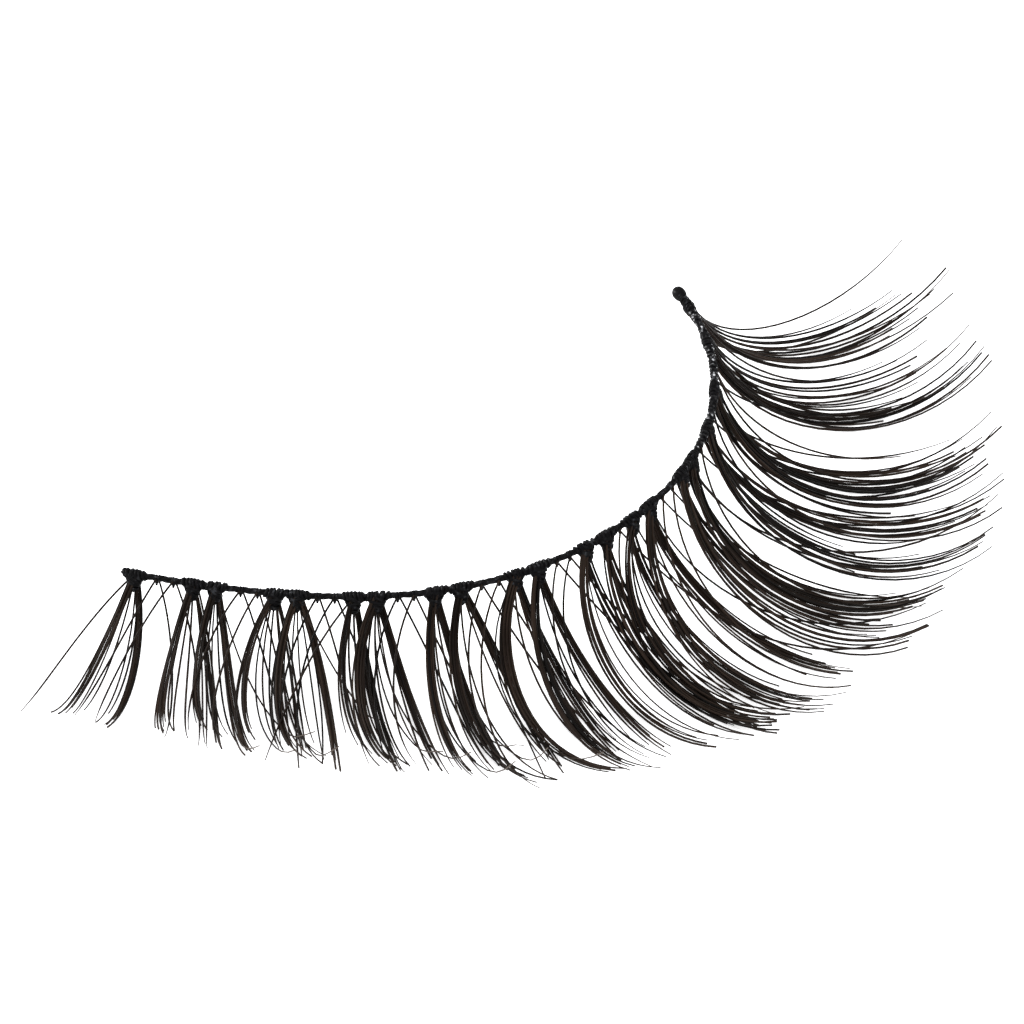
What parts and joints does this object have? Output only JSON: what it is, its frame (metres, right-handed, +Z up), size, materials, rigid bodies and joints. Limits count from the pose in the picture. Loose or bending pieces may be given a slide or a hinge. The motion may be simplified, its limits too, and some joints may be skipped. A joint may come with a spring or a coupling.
{
  "type": "false eyelash strip",
  "caption": "False eyelash strip for one upper lid: a fine curved thread band with knotted tufts of long dark lashes that lean apart, cross each other and curl up at the tips.",
  "frame": {"origin": "centre of the bounding box at its underside, on the surface that the strip lies on", "axes": "+X from the inner to the outer corner of the eye, -Y the way the lashes point, the eyelid in the hollow on the +Y side, +Z up"},
  "size_m": [0.038, 0.019, 0.0044],
  "materials": {
    "thread": "black waxed thread, knotted, with a dull sheen",
    "hair": "very dark brown synthetic hair with a soft satin sheen"
  },
  "bodies": {
    "root": {"lash_band": "thread", "lash_tuft_01": "hair", "lash_tuft_02": "hair", "lash_tuft_03": "hair", "lash_tuft_04": "hair", "lash_tuft_05": "hair", "lash_tuft_06": "hair", "lash_tuft_07": "hair", "lash_tuft_08": "hair", "lash_tuft_09": "hair", "lash_tuft_10": "hair", "lash_tuft_11": "hair", "lash_tuft_12": "hair", "lash_tuft_13": "hair", "lash_tuft_14": "hair", "lash_tuft_15": "hair", "lash_tuft_16": "hair", "lash_tuft_17": "hair", "lash_tuft_18": "hair", "lash_tuft_19": "hair", "lash_tuft_20": "hair", "lash_tuft_21": "hair"}
  },
  "joints": []
}
